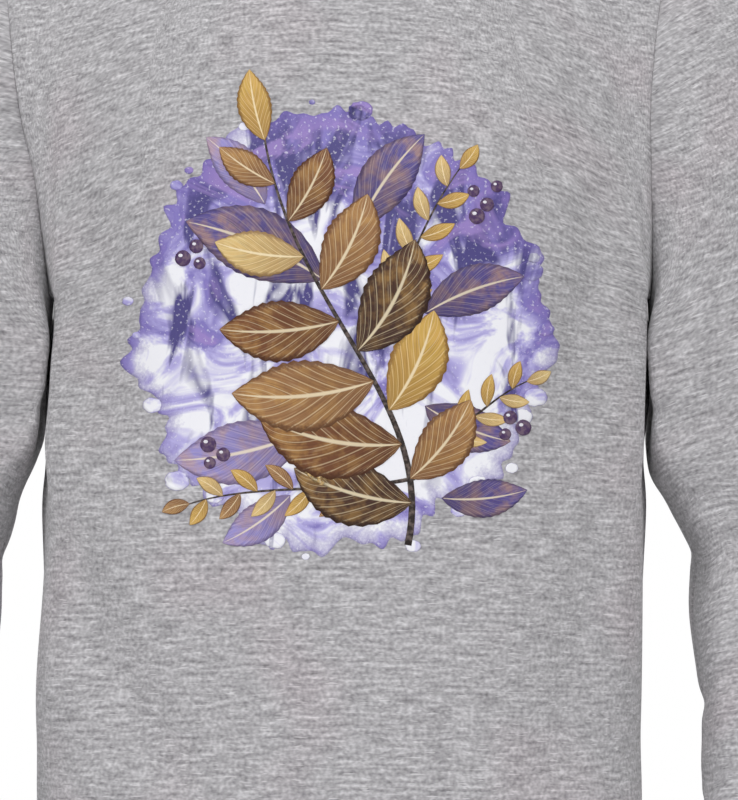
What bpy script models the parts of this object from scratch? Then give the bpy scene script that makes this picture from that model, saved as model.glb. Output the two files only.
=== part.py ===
"""Crew-neck sweatshirt in the shape it takes on a body, standing upright on its waistband.

Metres, +Z up. The front faces -Y, the wearer's left arm is at +X, and the waistband's lower edge is at Z = 0.
Every piece of cloth is a closed shell: an outer surface on a grid, and the same grid moved inwards by the cloth's
thickness. Pieces that are sewn together share the points of their seam and keep a hair's gap across it.
"""

import bmesh
import bpy
import numpy as np
from mathutils import Vector

# ---- Driving dimensions -------------------------------------------------------------------------------------
CLOTH = 0.0024  # fleece, one layer
RIB = 0.0042  # rib knit, folded double
SEAM_GAP = 0.0003

WAIST_SEAM_Z = 0.060
WAISTBAND_DRAW_IN = 0.0045  # how far the waistband's lower edge stands inside its seam
WAISTBAND_BOW = 0.0020
UNDERARM = np.array([0.1860, 0.013, 0.4125])
SHOULDER_TIP = np.array([0.2120, 0.014, 0.6450])
NECK_HALF_WIDTH = 0.084
NECK_SIDE_Z = 0.6950
NECK_ROUNDING = 0.040  # how softly the two shoulder slopes meet where the neck comes through
FRONT_NECK_CUT = 0.46  # share of the way from the chest to the shoulder line at the middle of the neckline
BACK_NECK_CUT = 0.74
NECK_ROUNDNESS = 0.64  # 0.5 is an ellipse on the panel, and more draws its corners in
COLLAR_WIDTH = 0.0230
COLLAR_LEAN = 0.48  # how far the collar tips in as it rises, as a slope
COLLAR_FRONT_LEAN = 0.42  # what the middle of the front adds to that
COLLAR_HOLLOW = 0.0012
FRONT_ARMHOLE_DEPTH = 0.056
BACK_ARMHOLE_DEPTH = 0.050
ARMHOLE_PULL = 5  # power of a column's place by which it is drawn over to the armhole

BICEPS_Z = 0.375
CUFF_SEAM_Z = 0.080
CUFF_END_Z = 0.018
CUFF_RADIUS = 0.0345
CUFF_TAPER = 0.03  # share of its radius that the cuff loses over its length

# Heights with the torso's half width, its depth in front of the side seams, and its depth behind them.
TORSO = np.array([
    (0.060, 0.1800, 0.1040, 0.1080),
    (0.085, 0.1865, 0.1110, 0.1150),
    (0.150, 0.1875, 0.1125, 0.1150),
    (0.250, 0.1870, 0.1130, 0.1100),
    (0.340, 0.1858, 0.1150, 0.1100),
    (0.420, 0.1856, 0.1168, 0.1160),
])
# Heights with the sleeve's inner and outer edge, its half depth, and its middle in depth.
SLEEVE = np.array([
    (0.375, 0.1880, 0.3060, 0.0640, 0.0120),
    (0.340, 0.1884, 0.3124, 0.0616, 0.0136),
    (0.310, 0.1917, 0.3172, 0.0594, 0.0146),
    (0.285, 0.2012, 0.3204, 0.0577, 0.0148),
    (0.255, 0.2114, 0.3230, 0.0560, 0.0130),
    (0.215, 0.2145, 0.3235, 0.0540, 0.0090),
    (0.150, 0.2205, 0.3190, 0.0505, 0.0000),
    (0.100, 0.2225, 0.3120, 0.0460, -0.0090),
    (0.080, 0.2290, 0.3010, 0.0380, -0.0120),
])

TORSO_SQUARENESS = 2.35  # 2 is an ellipse
SHOULDER_HANDLE = 0.075  # how far a panel runs level before it reaches the shoulder line
SHOULDER_SEAM_TILT = 0.39  # slope of the thickness direction at the shoulder seams
CHEST_SHARE = 0.56  # of a panel's rows that lie below the underarm
NECK_SHARE = NECK_HALF_WIDTH / SHOULDER_TIP[0]  # of a panel's half width that is neckline at the top

BODY_ROWS = 9
SHOULDER_ROWS = 10
NECK_COLUMNS = 6
SHOULDER_COLUMNS = 8
CAP_ROWS = 7
ARM_ROWS = 11
RIB_ROWS = 4
CUFF_ROWS = 7


# ---- Shared formulas ----------------------------------------------------------------------------------------
def unit(arrows):
    return arrows / np.maximum(np.linalg.norm(arrows, axis=-1, keepdims=True), 1e-12)


def vectors(x, y, z):
    return np.stack(np.broadcast_arrays(x, y, z), -1)


def along(stations, height):
    """Every column of a table of heights, read at other heights on a smooth curve through its rows."""
    table = stations[np.argsort(stations[:, 0])]
    z, values = table[:, 0], table[:, 1:]
    slopes = np.gradient(values, z, axis=0)
    height = np.clip(height, z[0], z[-1])
    i = np.clip(np.searchsorted(z, height) - 1, 0, len(z) - 2)
    span = (z[i + 1] - z[i])[..., None]
    u = (height - z[i])[..., None] / span
    rise = values[i] * (2 * u**3 - 3 * u**2 + 1) + values[i + 1] * (3 * u**2 - 2 * u**3)
    return rise + span * (slopes[i] * (u**3 - 2 * u**2 + u) + slopes[i + 1] * (u**3 - u**2))


def smooth_step(x):
    x = np.clip(x, 0, 1)
    return x * x * (3 - 2 * x)


def rounded(angle):
    """Sine and cosine of an angle from 0 to a quarter turn, squared up to the torso's section."""
    power = 2 / TORSO_SQUARENESS
    return np.sin(angle) ** power, np.clip(np.cos(angle), 0, 1) ** power


def bezier(p0, p1, p2, p3, u):
    return (1 - u) ** 3 * p0 + 3 * (1 - u) ** 2 * u * p1 + 3 * (1 - u) * u**2 * p2 + u**3 * p3


# ---- Armhole ------------------------------------------------------------------------------------------------
def armhole(angle):
    """The armhole seam: 0 at the shoulder tip, a half turn at the underarm, the front between them."""
    half_height = (SHOULDER_TIP[2] - UNDERARM[2]) / 2
    z = UNDERARM[2] + half_height * (1 + np.cos(angle))
    lean = (z - UNDERARM[2]) / (2 * half_height)
    depth = np.where(np.sin(angle) > 0, FRONT_ARMHOLE_DEPTH, BACK_ARMHOLE_DEPTH)
    return UNDERARM + (SHOULDER_TIP - UNDERARM) * vectors(lean, lean, 0) + vectors(
        0, -depth * np.sin(angle), z - UNDERARM[2])


def armhole_out(angle):
    """The way out of the armhole in its own plane, which is the thickness direction of both edges sewn there."""
    return vectors(0, -np.sin(angle), np.cos(angle))


# ---- Front and back panels ----------------------------------------------------------------------------------
def shoulder_line(across):
    """The top of the garment for 0 at the middle to 1 at the shoulder tip. Its two slopes would meet, rounded
    off, inside the neck, so that the panels pass smoothly from under the neckline to the shoulder seam."""
    def run(x):
        return np.hypot(x, NECK_ROUNDING) - NECK_ROUNDING
    x = SHOULDER_TIP[0] * across
    slope = (NECK_SIDE_Z - SHOULDER_TIP[2]) / (run(SHOULDER_TIP[0]) - run(NECK_HALF_WIDTH))
    return vectors(x, SHOULDER_TIP[1], SHOULDER_TIP[2] + slope * (run(SHOULDER_TIP[0]) - run(x)))


def neck_cut(across, face):
    """How much of the way from the chest to the shoulder line is left standing below the neckline."""
    lowest = FRONT_NECK_CUT if face < 0 else BACK_NECK_CUT
    return 1 - (1 - lowest) * np.clip(1 - (across / NECK_SHARE) ** 2, 0, 1) ** NECK_ROUNDNESS


def lift(row):
    """How far a row lies from the waist seam to the chest, and from the chest to the top, each from 0 to 1."""
    return np.clip(row / CHEST_SHARE, 0, 1), np.clip((row - CHEST_SHARE) / (1 - CHEST_SHARE), 0, 1)


def draped(row, across, face):
    """The panel before its armhole is cut. Below the underarm it is half of a squared oval. Above, each column is
    a Bezier curve that leaves upright and comes to the shoulder line level, as far as the neckline lets it."""
    low, high = lift(row)
    sine, cosine = rounded(across * np.pi / 2)
    z = WAIST_SEAM_Z + (UNDERARM[2] - WAIST_SEAM_Z) * low
    size = along(TORSO, z)
    depth = size[..., 1] if face < 0 else size[..., 2]
    tube = vectors(size[..., 0] * sine, face * depth * cosine + UNDERARM[1] * low * sine**4, z)
    top = shoulder_line(across)
    rise = (top - tube)[..., 2:]
    start = tube + vectors(0.06 * sine, 0.03 * face * cosine, 1) * 0.50 * rise
    end = top - unit(np.array([0, -face, 0.12])) * SHOULDER_HANDLE
    return bezier(tube, start, end, top, (high * neck_cut(across, face))[..., None])


def panel(rows, columns, face):
    """The panel's outer surface: face is -1 for the front and 1 for the back. rows run up and columns run in +X.
    It is the draped shape with its outermost columns drawn over to the armhole seam."""
    row, column = np.meshgrid(rows, columns, indexing="ij")
    across = np.abs(column)
    high = lift(row)[1]
    seam = armhole(np.pi * (1 - high) * -face)
    drawn = np.where(high[..., None] > 0, seam - draped(row, np.ones_like(row), face), 0)
    points = draped(row, across, face) + drawn * across[..., None] ** ARMHOLE_PULL
    points[..., 0] *= np.where(column < 0, -1, 1)
    return points


# ---- Sleeves ------------------------------------------------------------------------------------------------
def ring(angle, z):
    """The sleeve's section at a height: 0 on its outer edge, a quarter turn at its front."""
    inner, outer, half_depth, middle = np.moveaxis(along(SLEEVE, z), -1, 0)
    x = (inner + outer) / 2 + (outer - inner) / 2 * np.cos(angle)
    return vectors(x, middle - half_depth * np.sin(angle), z)


def sleeve(cap_rows, arm_rows, angles):
    """The sleeve's outer surface at +X, from the armhole down. Its cap is a Bezier curve for each angle, which
    leaves the shoulder outwards and the underarm straight down, and joins the biceps ring upright."""
    cap, turn = np.meshgrid(cap_rows, angles, indexing="ij")
    top = (1 + np.cos(turn)) / 2
    away = vectors(0.05 + 0.85 * top + 0.14 * np.sin(turn) ** 2, -0.35 * np.sin(turn), -1 + 0.57 * top)
    start, end = armhole(turn), ring(turn, np.full_like(turn, BICEPS_Z))
    chord = np.linalg.norm(end - start, axis=-1, keepdims=True)
    arrive = np.array([0.12, 0, -1])
    shaped = bezier(start, start + unit(away) * chord * 0.36, end - arrive * chord * 0.42, end, cap[..., None])
    low, turn = np.meshgrid(arm_rows, angles, indexing="ij")
    return np.concatenate([shaped, ring(turn, BICEPS_Z + (CUFF_SEAM_Z - BICEPS_Z) * low)[1:]])


def cuff(rows, angles):
    """The cuff's outer surface: it draws in under the sleeve and then runs nearly straight."""
    row, turn = np.meshgrid(rows, angles, indexing="ij")
    seam = ring(turn, np.full_like(turn, CUFF_SEAM_Z))
    middle = ring(np.array([0, np.pi]), np.full(2, CUFF_SEAM_Z)).mean(axis=0)
    radius = CUFF_RADIUS * (1 - CUFF_TAPER * row)
    straight = middle + vectors(radius * np.cos(turn), -radius * np.sin(turn), 0)
    mixed = seam + (straight - seam) * smooth_step(row * 3)[..., None]
    mixed[..., 2] = CUFF_SEAM_Z + (CUFF_END_Z - CUFF_SEAM_Z) * row
    return mixed


# ---- Waistband and collar -----------------------------------------------------------------------------------
def neck_out(columns, face):
    """The thickness direction of both edges sewn at the neckline, between the panel's way out and the collar's."""
    turn = columns / NECK_SHARE * np.pi / 2
    return unit(vectors(np.sin(turn), face * np.cos(turn), 0.45 + 0.5 * np.sin(turn) ** 2))


def whole_loop(front, back):
    """Joins a row of the front, in +X, and a row of the back, in +X, into one loop without its shared ends."""
    return np.concatenate([front[:-1], back[:0:-1]])


def waistband(rows, columns):
    """The waistband's outer surface, from the floor up: it stands a little inside the seam and bows out between."""
    seam = whole_loop(*(panel(np.zeros(1), columns, face)[0] for face in (-1, 1)))
    outwards = unit(seam * np.array([1, 2.5, 0]))
    grow = (WAISTBAND_DRAW_IN * (rows - 1) + WAISTBAND_BOW * np.sin(np.pi * rows))[:, None, None]
    band = seam + outwards * grow
    band[..., 2] = WAIST_SEAM_Z * rows[:, None]
    return band


def collar(rows, columns):
    """The collar's outer surface: the neckline carried up and in by the rib's width, a little hollow."""
    seam = whole_loop(*(panel(np.ones(1), columns, face)[0] for face in (-1, 1)))
    flat_out = unit(whole_loop(*(neck_out(columns, face) for face in (-1, 1))) * np.array([1, 1, 0]))
    front = np.clip(-flat_out[:, 1:2], 0, 1)
    lean = COLLAR_LEAN + COLLAR_FRONT_LEAN * front**2
    rib = unit(vectors(0, 0, 1) - lean * flat_out) * COLLAR_WIDTH
    row = rows[:, None, None]
    return seam + rib * row - flat_out * COLLAR_HOLLOW * np.sin(np.pi * row)


# ---- Making solids ------------------------------------------------------------------------------------------
def normals_of(points, closed):
    """Unit normals of a grid of points, from the differences between neighbours."""
    if closed:
        wrapped = np.concatenate([points[:, -1:], points, points[:, :1]], axis=1)
        right = wrapped[:, 2:] - wrapped[:, :-2]
    else:
        right = np.gradient(points, axis=1)
    return unit(np.cross(right, np.gradient(points, axis=0)))


def material(name, colour, roughness):
    made = bpy.data.materials.new(name)
    made.use_nodes = True
    shader = made.node_tree.nodes["Principled BSDF"]
    shader.inputs["Base Color"].default_value = (*colour, 1)
    shader.inputs["Roughness"].default_value = roughness
    shader.inputs["Metallic"].default_value = 0
    return made


def solid(name, outer, inward, finish, closed):
    """A closed object between a grid and the same grid moved by inward. closed joins its last column to its first."""
    shape = bmesh.new()
    outside, inside = (
        [[shape.verts.new(Vector(point)) for point in line] for line in surface]
        for surface in (outer, outer + inward)
    )
    rows, columns = outer.shape[:2]
    steps = [(j, (j + 1) % columns) for j in range(columns if closed else columns - 1)]
    for i in range(rows - 1):
        for j, k in steps:
            shape.faces.new((outside[i][j], outside[i][k], outside[i + 1][k], outside[i + 1][j]))
            shape.faces.new((inside[i][j], inside[i + 1][j], inside[i + 1][k], inside[i][k]))
    for line in (0, rows - 1):
        for j, k in steps:
            shape.faces.new((outside[line][k], outside[line][j], inside[line][j], inside[line][k]))
    if not closed:
        for line in (0, columns - 1):
            for i in range(rows - 1):
                shape.faces.new((outside[i + 1][line], outside[i][line], inside[i][line], inside[i + 1][line]))
    bmesh.ops.recalc_face_normals(shape, faces=shape.faces)
    mesh = bpy.data.meshes.new(name)
    shape.to_mesh(mesh)
    shape.free()
    mesh.shade_smooth()
    mesh.set_sharp_from_angle(angle=np.radians(50))
    mesh.materials.append(finish)
    bpy.context.scene.collection.objects.link(bpy.data.objects.new(name, mesh))


# ---- The sweatshirt -----------------------------------------------------------------------------------------
for old in list(bpy.data.objects):
    bpy.data.objects.remove(old)

jersey = material("heather_grey_fleece", (0.42, 0.41, 0.43), 0.95)
ribbing = material("heather_grey_rib", (0.38, 0.37, 0.39), 0.95)

body_rows = np.linspace(0, CHEST_SHARE, BODY_ROWS + 1)
shoulder_rows = np.linspace(CHEST_SHARE, 1, SHOULDER_ROWS + 1)
panel_rows = np.concatenate([body_rows, shoulder_rows[1:]])
neck_columns = NECK_SHARE * np.sin(np.linspace(0, np.pi / 2, NECK_COLUMNS + 1))
shoulder_columns = np.linspace(NECK_SHARE, 1, SHOULDER_COLUMNS + 1)
half_columns = np.concatenate([neck_columns, shoulder_columns[1:]])
columns = np.concatenate([-half_columns[:0:-1], half_columns])
collar_columns = np.concatenate([-neck_columns[:0:-1], neck_columns])
rib_rows = np.linspace(0, 1, RIB_ROWS + 1)


def make_panel(name, face):
    outer = panel(panel_rows, columns, face)
    out = normals_of(outer, closed=False) * -face
    high = lift(panel_rows)[1]
    edge_out = np.where(high[:, None] > 0, armhole_out(np.pi * (1 - high) * -face), [1.0, 0, 0])
    out[:, -1] = edge_out
    out[:, 0] = edge_out * np.array([-1, 1, 1])

    on_neck = np.abs(columns) < NECK_SHARE + 1e-9
    shoulder_out = vectors(SHOULDER_SEAM_TILT * np.sign(columns), 0, 1)
    out[-1, 1:-1] = np.where(on_neck[:, None], neck_out(columns, face), shoulder_out)[1:-1]
    out[0] *= np.array([1, 1, 0])

    outer[:, 0, 0] += SEAM_GAP
    outer[:, -1, 0] -= SEAM_GAP
    outer[:, [0, -1], 1] += face * SEAM_GAP
    outer[-1, :, 1] += face * SEAM_GAP
    outer[0, :, 2] += SEAM_GAP
    outer[-1, on_neck, 2] -= SEAM_GAP
    solid(name, outer, -CLOTH * unit(out), jersey, closed=False)


make_panel("front_panel", -1)
make_panel("back_panel", 1)

turns = 2 * np.pi * np.linspace(0, 1, 2 * SHOULDER_ROWS + 1)[:-1]
sleeve_outer = sleeve(np.linspace(0, 1, CAP_ROWS + 1), np.linspace(0, 1, ARM_ROWS + 1), turns)
sleeve_out = normals_of(sleeve_outer, closed=True)
sleeve_out[0] = armhole_out(turns)
sleeve_out[-1] = unit(sleeve_out[-1] * np.array([1, 1, 0]))
sleeve_outer[0, :, 0] += SEAM_GAP
cuff_outer = cuff(np.linspace(0, 1, CUFF_ROWS + 1), turns)
cuff_out = unit(normals_of(cuff_outer, closed=True) * np.array([1, 1, 0]))
cuff_outer[0, :, 2] -= SEAM_GAP
for name, mirror in (("left", np.array([1, 1, 1])), ("right", np.array([-1, 1, 1]))):
    solid(f"sleeve_{name}", sleeve_outer * mirror, -CLOTH * sleeve_out * mirror, jersey, closed=True)
    solid(f"cuff_{name}", cuff_outer * mirror, -RIB * cuff_out * mirror, ribbing, closed=True)

band_outer = waistband(rib_rows, columns)
band_out = unit(normals_of(band_outer, closed=True) * np.array([1, 1, 0]))
band_outer[-1, :, 2] -= SEAM_GAP
solid("waistband", band_outer, -RIB * band_out, ribbing, closed=True)

collar_outer = collar(rib_rows, collar_columns)
collar_out = normals_of(collar_outer, closed=True)
collar_out[0] = whole_loop(*(neck_out(collar_columns, face) for face in (-1, 1)))
collar_outer[0, :, 2] += SEAM_GAP
solid("collar", collar_outer, -RIB * collar_out, ribbing, closed=True)
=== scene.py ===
"""The looks of a heather grey crew-neck sweatshirt, in the shape it takes on a body, on its waistband.

Metres, +Z up, the front faces -Y and the wearer's left arm is at +X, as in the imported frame.
"""

import bmesh
import bpy
import numpy as np
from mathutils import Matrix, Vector


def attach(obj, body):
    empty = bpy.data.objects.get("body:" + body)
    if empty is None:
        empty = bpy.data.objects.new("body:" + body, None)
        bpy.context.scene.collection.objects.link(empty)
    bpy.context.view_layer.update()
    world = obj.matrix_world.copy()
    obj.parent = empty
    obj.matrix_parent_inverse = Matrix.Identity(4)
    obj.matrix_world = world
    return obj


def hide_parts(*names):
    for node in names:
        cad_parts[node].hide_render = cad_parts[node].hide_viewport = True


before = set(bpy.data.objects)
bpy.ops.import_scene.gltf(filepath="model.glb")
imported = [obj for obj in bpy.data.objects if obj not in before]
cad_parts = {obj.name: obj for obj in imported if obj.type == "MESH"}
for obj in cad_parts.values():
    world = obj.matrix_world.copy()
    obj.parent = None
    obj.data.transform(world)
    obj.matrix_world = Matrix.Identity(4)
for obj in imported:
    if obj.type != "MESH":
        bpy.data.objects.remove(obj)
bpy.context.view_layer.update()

# ---- Camera, lights and floor ----------------------------------------------------------------------------
# A long lens looks level at the chest from straight in front. Large soft boxes light the cloth from the front
# and above, a white surround fills in, and the pale floor fades out into it.
VIEW_HEIGHT = 0.494  # of the garment, at its side seams
VIEW_MIDDLE = Vector((0.0173, 0.0, 0.351))
CAMERA_DISTANCE = 3.2
LIT_MIDDLE = Vector((0, 0, 0.36))
FILL = 0.46  # brightness of the surround as a light
FLOOR_RADIUS = 1.25
FLOOR_SOLID = 0.55  # radius from which the floor fades
FLOOR_Z = -0.0005

bpy.context.scene.view_settings.view_transform = "Standard"


def add_object(name, data):
    """A new object in the scene, at the origin, from a mesh, a light or a camera."""
    made = bpy.data.objects.new(name, data)
    bpy.context.scene.collection.objects.link(made)
    return made


camera_data = bpy.data.cameras.new("camera")
camera_data.lens = camera_data.sensor_width * CAMERA_DISTANCE / VIEW_HEIGHT
camera = add_object("camera", camera_data)
camera.location = VIEW_MIDDLE + Vector((0, -CAMERA_DISTANCE, 0))
camera.rotation_euler = (np.pi / 2, 0, 0)
bpy.context.scene.camera = camera

for light_name, place, size, power in (
    ("key_box", (0.1, -2.4, 2.2), 1.2, 24),
    ("front_box", (0.0, -3.1, 0.5), 0.8, 6),
    ("left_side_box", (-2.3, -1.9, 0.9), 1.2, 11),
    ("right_side_box", (2.5, -1.5, 0.9), 1.4, 3.8),
    ("top_box", (0.0, -0.3, 2.6), 2.0, 13),
    ("back_box", (2.0, 1.9, 1.9), 1.0, 20),
    ("back_fill_box", (-1.4, 2.4, 0.9), 1.6, 5),
):
    light_data = bpy.data.lights.new(light_name, "AREA")
    light_data.size = size
    light_data.energy = power
    light = add_object(light_name, light_data)
    light.location = place
    light.rotation_euler = (LIT_MIDDLE - Vector(place)).to_track_quat("-Z", "Y").to_euler()

world = bpy.data.worlds.new("white_surround")
world.use_nodes = True
bpy.context.scene.world = world
around, links = world.node_tree.nodes, world.node_tree.links
seen, fill = around["Background"], around.new("ShaderNodeBackground")
pick, path = around.new("ShaderNodeMixShader"), around.new("ShaderNodeLightPath")
seen.inputs["Color"].default_value = fill.inputs["Color"].default_value = (1, 1, 1, 1)
fill.inputs["Strength"].default_value = FILL
links.new(path.outputs["Is Camera Ray"], pick.inputs[0])
links.new(fill.outputs[0], pick.inputs[1])
links.new(seen.outputs[0], pick.inputs[2])
links.new(pick.outputs[0], around["World Output"].inputs["Surface"])


class Nodes:
    """A short way to add nodes to a material and wire them: add(kind, inputs by name or number, settings)."""

    def __init__(self, name):
        self.material = bpy.data.materials.new(name)
        self.material.use_nodes = True
        self.tree = self.material.node_tree
        self.shader = self.tree.nodes["Principled BSDF"]

    def add(self, kind, inputs=(), **settings):
        """A node of a kind, with its settings and with values or sockets on its inputs."""
        node = self.tree.nodes.new("ShaderNode" + kind)
        for key, value in settings.items():
            setattr(node, key, value)
        for key, value in dict(inputs).items():
            self.wire(node, key, value)
        return node

    def wire(self, node, key, value):
        """Links a socket to an input, or sets the input to a value."""
        if isinstance(value, bpy.types.NodeSocket):
            self.tree.links.new(value, node.inputs[key])
        else:
            node.inputs[key].default_value = value

    def maths(self, operation, a, b, c=0.0):
        """a and b, and for some operations c, put together by the operation named."""
        return self.add("Math", {0: a, 1: b, 2: c}, operation=operation).outputs[0]

    def stretch(self, value, low, high, to_low=0.0, to_high=1.0, **settings):
        """A straight ramp of the value between low and high, and level outside them."""
        ends = {"From Min": low, "From Max": high, "To Min": to_low, "To Max": to_high}
        return self.add("MapRange", {"Value": value, **ends}, **settings).outputs[0]

    def finish(self, **inputs):
        """The material, with values or sockets on the inputs of its shader."""
        for key, value in inputs.items():
            self.wire(self.shader, key.replace("_", " "), value)
        return self.material

    def place(self):
        """Metres on the whole garment's three axes."""
        return self.add("TexCoord").outputs["Object"]

    def map_of(self, name):
        """Coordinates that follow a piece's surface, from its UV map."""
        return self.add("UVMap", uv_map=name).outputs[0]

    def noise(self, where, across, up, detail=0.0, roughness=0.5, warp=0.0):
        """Noise whose features are about across by up metres on the cloth, from 0 to 1 around one half."""
        scaled = self.add("Mapping", {"Vector": where, "Scale": (1 / across, 1 / up, 1)}).outputs[0]
        look = {"Scale": 1.0, "Detail": detail, "Roughness": roughness, "Distortion": warp}
        return self.add("TexNoise", {"Vector": scaled, **look}, noise_dimensions="2D").outputs["Fac"]

    def mix(self, share, a, b, blend="MIX"):
        """a with a share of b mixed in."""
        return self.add("Mix", {0: share, 6: a, 7: b}, data_type="RGBA", blend_type=blend).outputs[2]

    def bump(self, height, strength, distance):
        """A normal tilted by the slope of a height."""
        return self.add("Bump", {"Height": height, "Strength": strength, "Distance": distance}).outputs[0]


def pale_floor():
    """Matt white, solid under the garment, which fades by a smooth step to clear at the rim."""
    n = Nodes("pale_floor")
    from_middle = n.add("VectorMath", {0: n.place()}, operation="LENGTH").outputs["Value"]
    fade = n.stretch(
        from_middle, FLOOR_SOLID, FLOOR_RADIUS - 0.05, 1.0, 0.0, interpolation_type="SMOOTHSTEP")
    return n.finish(Base_Color=(0.86, 0.86, 0.87, 1), Roughness=0.8, Alpha=fade)


ring_angles = np.linspace(0, 2 * np.pi, 97)[:-1]
floor_points = [(FLOOR_RADIUS * np.cos(a), FLOOR_RADIUS * np.sin(a), FLOOR_Z) for a in ring_angles]
floor_mesh = bpy.data.meshes.new("floor")
floor_mesh.from_pydata(floor_points, [], [list(range(len(floor_points)))])
floor_mesh.materials.append(pale_floor())
add_object("floor", floor_mesh)


# ---- Front and back panels -------------------------------------------------------------------------------
# The body of the sweatshirt is two panels of brushed cotton fleece, about 2.4 mm thick, cut with the knitted
# courses level and overlocked together at the shoulders and sides. The cloth hangs from the shoulders and
# gathers a little where the narrower waistband draws it in.
CLOTH = 0.0024
RIB_PITCH = 0.0036
WAIST_SEAM_Z = 0.060
UNDERARM = np.array([0.1860, 0.013, 0.4125])
SHOULDER_TIP = np.array([0.2120, 0.014, 0.6450])
NECK_HALF_WIDTH = 0.084
NECK_SIDE_Z = 0.6950
NECK_ROUNDING = 0.040  # how softly the two shoulder slopes would meet inside the neck
FRONT_NECK_CUT = 0.46  # share of the way from the chest to the shoulder line at the middle of the neckline
BACK_NECK_CUT = 0.74
NECK_ROUNDNESS = 0.64
FRONT_ARMHOLE_DEPTH = 0.066
BACK_ARMHOLE_DEPTH = 0.050
TORSO_SQUARENESS = 2.60  # at the waist; 2 is an ellipse
CHEST_SQUARENESS = 2.90  # at the underarm, where the sleeves press the sides flat
ARM_SQUARENESS = 1.20  # more at the front beside the arms, which squeeze the cloth forward
CORNER_BULGE = 0.0022  # of the front beside an arm
SIDE_DENT = 0.0042  # where an arm presses on the side seam
HOLLOW = 0.0110  # depth of the front's hollows below the armholes
GATHER = 0.0028  # height of the gathers over the waistband
UNEVENNESS = 0.0011  # of hanging cloth
SIDE_GROOVE = 0.0009  # depth of the groove at the side seams
SHOULDER_HANDLE = 0.075  # how far a panel runs level before it reaches the shoulder line
CHEST_SHARE = 0.56  # of a panel's rows that lie below the underarm
NECK_SHARE = NECK_HALF_WIDTH / SHOULDER_TIP[0]

# Heights with the torso's half width, its depth in front of the side seams, and its depth behind them.
TORSO = np.array([
    (0.060, 0.1800, 0.1040, 0.1080),
    (0.085, 0.1865, 0.1110, 0.1150),
    (0.150, 0.1875, 0.1125, 0.1150),
    (0.250, 0.1870, 0.1130, 0.1100),
    (0.340, 0.1858, 0.1150, 0.1100),
    (0.420, 0.1856, 0.1168, 0.1160),
])

# The garment hangs a little unevenly. Heights with the shift towards +X of the wearer's right and left side.
BODY_SWAY = np.array([
    (0.000, 0.0010, -0.0020),
    (0.104, 0.0018, -0.0034),
    (0.165, 0.0019, -0.0024),
    (0.227, 0.0036, -0.0010),
    (0.301, 0.0002, 0.0040),
    (0.326, -0.0010, 0.0058),
    (0.348, 0.0017, 0.0060),
    (0.375, 0.0042, 0.0054),
    (0.394, 0.0066, 0.0047),
    (0.4125, 0.0076, 0.0041),
    (0.447, 0.0084, 0.0002),
    (0.487, 0.0078, -0.0052),
    (0.522, 0.0042, -0.0098),
    (0.598, 0.0032, -0.0112),
    (0.645, 0.0030, -0.0070),
    (0.720, 0.0030, -0.0060),
])

# Soft folds of a panel: the line's two ends (across and up), its bow, its width, and its height, negative
# for a valley. They fan out from the underarms and lie slantwise where the cloth slackens over the waistband.
FRONT_FOLDS = (
    ((-0.200, 0.345), (-0.070, 0.080), -0.014, 0.0190, -0.0085),
    ((-0.215, 0.270), (-0.120, 0.040), -0.010, 0.0260, 0.0040),
    ((-0.196, 0.520), (-0.110, 0.395), -0.006, 0.0170, -0.0036),
    ((0.196, 0.560), (0.140, 0.330), -0.008, 0.0190, -0.0056),
    ((0.186, 0.330), (0.125, 0.070), -0.010, 0.0280, -0.0064),
    ((-0.196, 0.455), (-0.130, 0.400), 0.006, 0.0100, -0.0022),
    ((-0.193, 0.490), (-0.120, 0.462), 0.004, 0.0120, 0.0014),
    ((0.194, 0.452), (0.138, 0.385), -0.006, 0.0100, -0.0020),
    ((0.192, 0.500), (0.128, 0.470), -0.004, 0.0120, 0.0012),
    ((0.176, 0.260), (0.130, 0.120), -0.010, 0.0110, -0.0016),
    ((-0.150, 0.110), (-0.090, 0.072), 0.004, 0.0070, -0.0024),
    ((-0.050, 0.100), (0.030, 0.072), 0.004, 0.0070, -0.0022),
    ((0.150, 0.112), (0.080, 0.074), -0.004, 0.0070, -0.0024),
    ((-0.080, 0.625), (-0.150, 0.560), 0.008, 0.0110, -0.0013),
    ((0.082, 0.622), (0.150, 0.556), -0.008, 0.0110, -0.0013),
)
BACK_FOLDS = (
    ((-0.176, 0.350), (-0.040, 0.190), 0.012, 0.0105, -0.0046),
    ((-0.168, 0.385), (-0.030, 0.225), 0.014, 0.0110, 0.0030),
    ((-0.172, 0.290), (-0.070, 0.165), 0.010, 0.0085, -0.0034),
    ((0.178, 0.320), (0.030, 0.170), -0.014, 0.0105, -0.0048),
    ((0.166, 0.352), (0.020, 0.205), -0.012, 0.0110, 0.0030),
    ((0.176, 0.262), (0.090, 0.150), -0.008, 0.0085, -0.0034),
    ((-0.030, 0.200), (0.070, 0.105), 0.010, 0.0085, -0.0034),
    ((-0.010, 0.160), (-0.090, 0.095), -0.008, 0.0080, -0.0030),
    ((-0.130, 0.150), (-0.040, 0.100), 0.006, 0.0080, -0.0030),
    ((0.150, 0.140), (0.080, 0.095), -0.006, 0.0080, -0.0028),
    ((-0.196, 0.470), (-0.110, 0.520), 0.010, 0.0105, -0.0036),
    ((-0.190, 0.510), (-0.100, 0.580), 0.010, 0.0110, 0.0022),
    ((0.196, 0.470), (0.110, 0.525), -0.010, 0.0105, -0.0036),
    ((0.190, 0.515), (0.100, 0.585), -0.010, 0.0110, 0.0022),
    ((-0.100, 0.640), (-0.050, 0.500), 0.010, 0.0150, -0.0024),
    ((0.100, 0.640), (0.055, 0.510), -0.010, 0.0150, -0.0024),
)


def unit(v):
    """The same directions at length one."""
    return v / np.maximum(np.linalg.norm(v, axis=-1, keepdims=True), 1e-12)


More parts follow.
